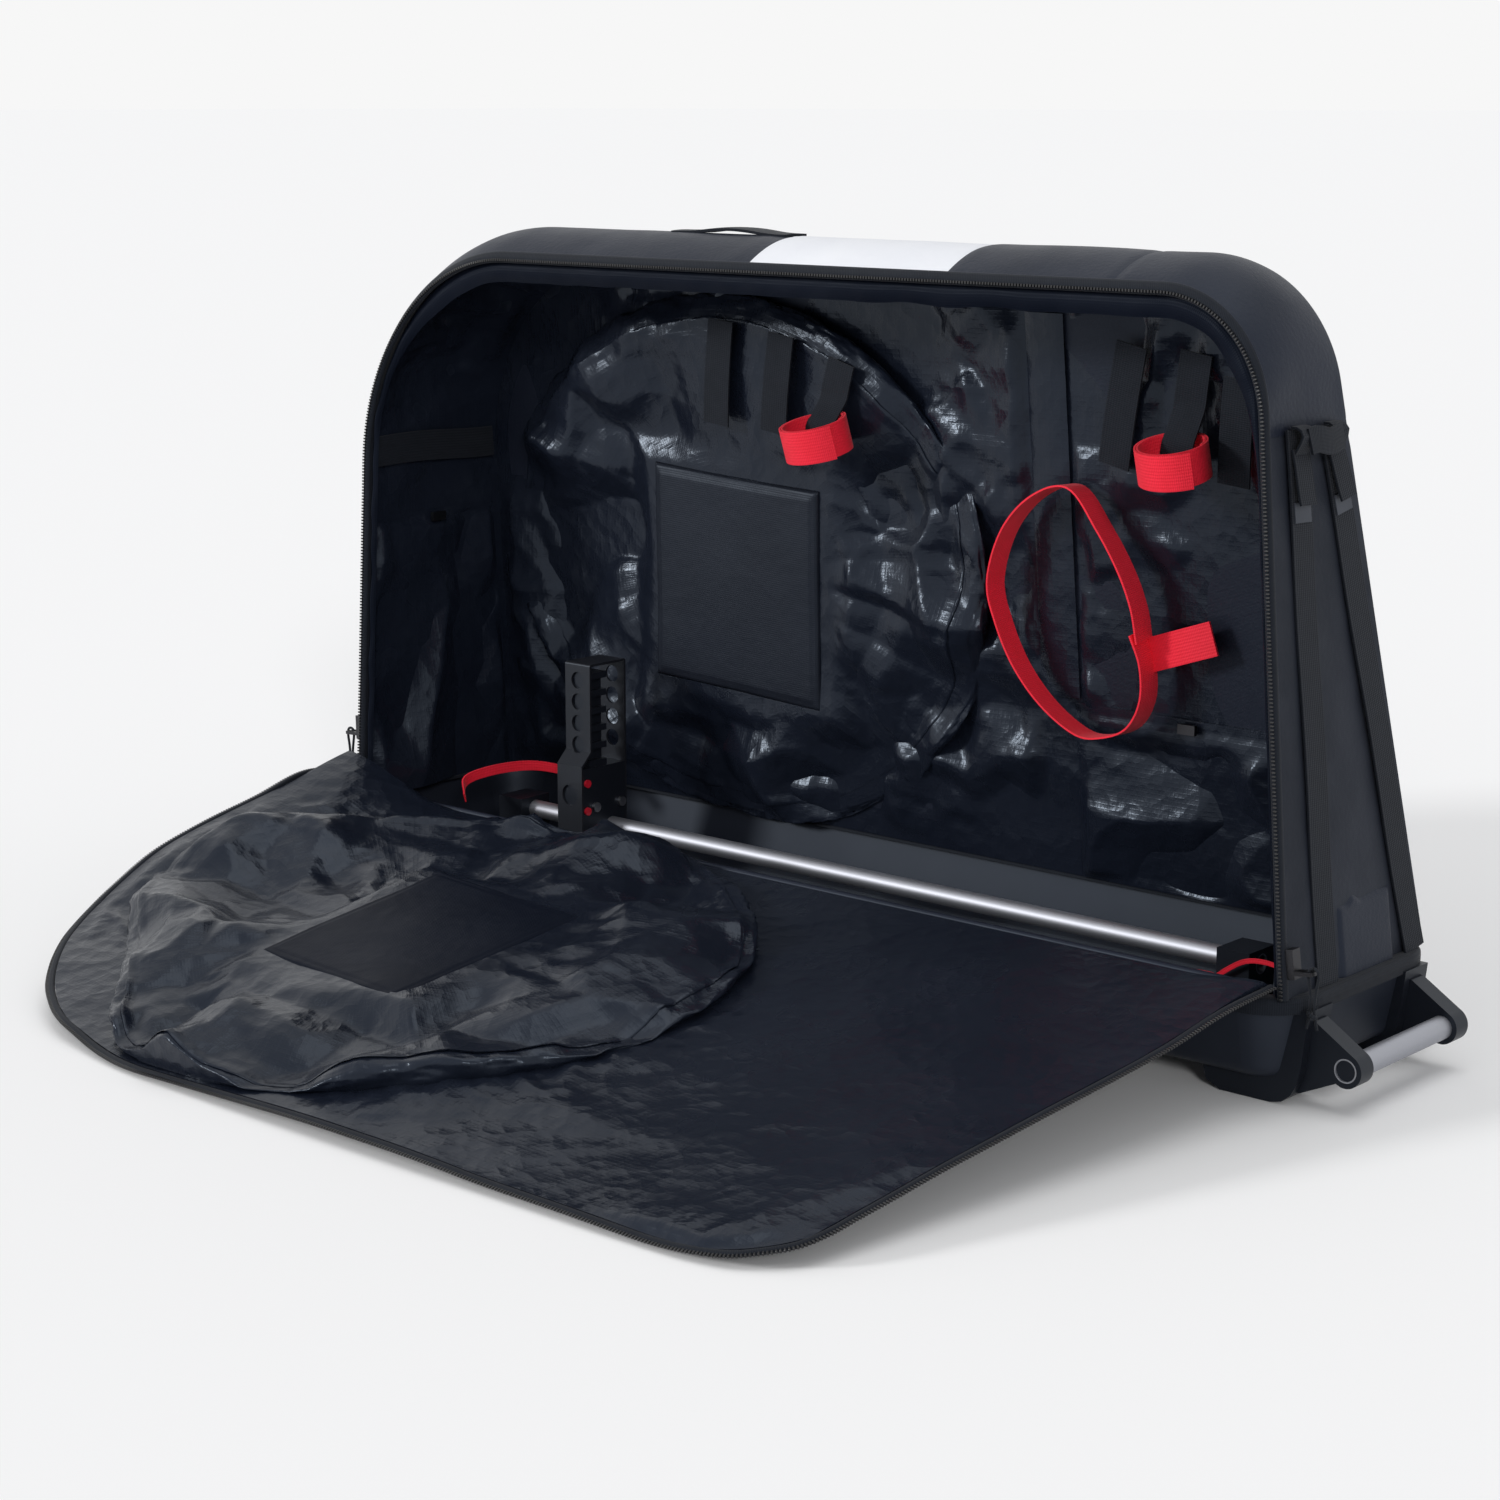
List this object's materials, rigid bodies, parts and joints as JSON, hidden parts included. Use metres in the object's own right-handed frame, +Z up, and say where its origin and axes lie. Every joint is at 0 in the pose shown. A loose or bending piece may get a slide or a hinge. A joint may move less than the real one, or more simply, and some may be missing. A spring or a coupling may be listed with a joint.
{
  "type": "bike travel case",
  "caption": "Soft bike travel case on a rigid wheeled tray, long side unzipped and folded down, with wheel pockets and a bike stand rail inside.",
  "frame": {"origin": "on the floor, under the middle of the whole part with its side flap folded open", "axes": "+X along the case towards the grab bar, +Z up, -Y out of the open side"},
  "size_m": [1.504, 0.9728, 0.852],
  "materials": {
    "tray_plastic": "matte moulded plastic",
    "trim_plastic": "satin moulded plastic",
    "tip_plastic": "grey moulded plastic",
    "red_plastic": "red moulded plastic",
    "bar_aluminium": "satin anodised",
    "plate_metal": "black powder coat",
    "steel": "zinc plated",
    "tyre_rubber": "matte",
    "shell_fabric": "coated black fabric",
    "print_fabric": "dark grey mottled fabric",
    "white_fabric": "white coated fabric",
    "liner_fabric": "shiny black coated liner",
    "pad_foam": "matte foam-backed fabric",
    "webbing": "black woven webbing",
    "red_webbing": "red woven webbing",
    "cord": "black braided cord"
  },
  "bodies": {
    "case": {"base_tray": "tray_plastic", "rim_hem": "webbing", "floor_pad": "pad_foam", "near_sill": "shell_fabric", "front_runner_near": "trim_plastic", "front_runner_far": "trim_plastic", "grab_bar": "bar_aluminium", "bar_plugs": "trim_plastic", "base_screws": "steel", "wheel_housing_near": "trim_plastic", "wheel_housing_far": "trim_plastic", "wheel_axles": "steel", "back_panel": "shell_fabric", "front_end_panel": "print_fabric", "rear_end_panel": "print_fabric", "front_hood": "shell_fabric", "top_panel_front": "shell_fabric", "top_panel_white": "white_fabric", "top_panel_rear": "shell_fabric", "opening_zip": "webbing", "back_wheel_pocket": "liner_fabric", "back_hub_pad": "pad_foam", "rod_sleeve": "liner_fabric", "holder_straps": "webbing", "rolled_straps": "red_webbing", "red_loop_strap": "red_webbing", "back_pocket": "liner_fabric", "rear_pocket": "liner_fabric", "rear_elastic_band": "webbing", "front_strap_near": "webbing", "front_strap_far": "webbing", "strap_tails": "webbing", "strap_tips": "tip_plastic", "front_handle": "webbing", "document_pocket": "shell_fabric", "top_handle": "webbing", "stand_rail": "bar_aluminium", "rail_feet": "trim_plastic", "stand_straps": "red_webbing"},
    "flap": {"flap_panel": "liner_fabric", "flap_binding": "webbing", "flap_wheel_pocket": "liner_fabric", "flap_hub_pad": "pad_foam"},
    "wheel_near": {"wheel_hub_near": "trim_plastic", "wheel_tyre_near": "tyre_rubber"},
    "wheel_far": {"wheel_hub_far": "trim_plastic", "wheel_tyre_far": "tyre_rubber"},
    "upright": {"bracket_plate": "plate_metal", "bracket_column": "trim_plastic", "bracket_clamp": "trim_plastic", "bracket_bolts": "steel", "bracket_plugs": "red_plastic"},
    "zip_front": {"main_slider_front": "steel"},
    "zip_rear": {"main_slider_rear": "steel"},
    "pull_front": {"slider_pull_front": "cord"},
    "pull_rear": {"slider_pull_rear": "cord"},
    "zip_back_pocket": {"back_pocket_slider": "steel"},
    "zip_rear_pocket": {"rear_pocket_slider": "steel"}
  },
  "joints": [
    {"name": "flap_fold", "type": "hinge", "parent": "case", "child": "flap", "pos_m": [0, 0.19187, 0.124], "axis": [-1, 0, 0], "range_deg": [0, 104.6]},
    {"name": "wheel_near_spin", "type": "hinge", "parent": "case", "child": "wheel_near", "pos_m": [-0.721, 0.23287, 0.031], "axis": [0, 1, 0], "continuous": true},
    {"name": "wheel_far_spin", "type": "hinge", "parent": "case", "child": "wheel_far", "pos_m": [-0.721, 0.43287, 0.031], "axis": [0, 1, 0], "continuous": true},
    {"name": "upright_slide", "type": "slide", "parent": "case", "child": "upright", "axis": [1, 0, 0], "range_m": [-0.06, 0.85]},
    {"name": "zip_front_slide", "type": "slide", "parent": "case", "child": "zip_front", "axis": [-0.1284, 0.0795, 0.9885], "range_m": [0, 0.5]},
    {"name": "zip_rear_slide", "type": "slide", "parent": "case", "child": "zip_rear", "axis": [-0.0244, 0.0802, 0.9965], "range_m": [0, 0.34]},
    {"name": "pull_front_swing", "type": "hinge", "parent": "zip_front", "child": "pull_front", "pos_m": [0.70559, 0.20575, 0.14472], "axis": [0, -1, 0], "range_deg": [0, 120]},
    {"name": "pull_rear_swing", "type": "hinge", "parent": "zip_rear", "child": "pull_rear", "pos_m": [-0.71319, 0.20986, 0.19128], "axis": [0, 1, 0], "range_deg": [0, 120]},
    {"name": "zip_back_pocket_slide", "type": "slide", "parent": "case", "child": "zip_back_pocket", "axis": [0.9999, -0.016, 0], "range_m": [-0.13, 0.13]},
    {"name": "zip_rear_pocket_slide", "type": "slide", "parent": "case", "child": "zip_rear_pocket", "axis": [0, 1, 0], "range_m": [-0.08, 0.08]}
  ]
}
